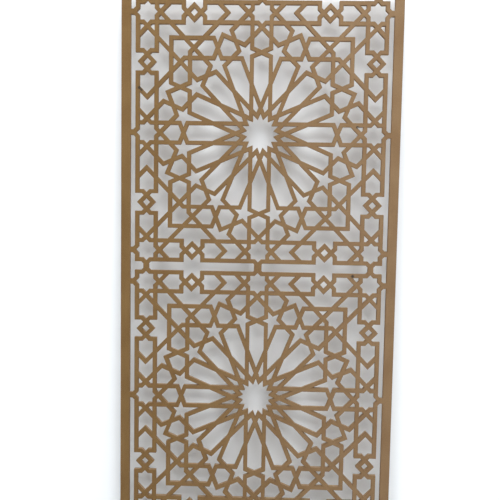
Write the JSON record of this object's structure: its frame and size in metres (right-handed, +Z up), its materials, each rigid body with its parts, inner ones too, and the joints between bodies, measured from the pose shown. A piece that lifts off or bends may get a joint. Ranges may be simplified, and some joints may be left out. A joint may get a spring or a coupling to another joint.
{
  "type": "decorative grille panel",
  "caption": "Flat fretwork board with a plain frame round two stacked square tiles of rosette straps, fixed or hung upright by its back.",
  "frame": {"origin": "on the back face, in the middle of the top rail's width and height", "axes": "+Z up the panel, +Y out of its back towards the wall, +X to the right as seen from the front"},
  "size_m": [0.6, 0.009, 1.2],
  "materials": {
    "fibreboard": "raw medium-density fibreboard, matt"
  },
  "bodies": {
    "root": {"Grille_Panel": "fibreboard"}
  },
  "joints": []
}
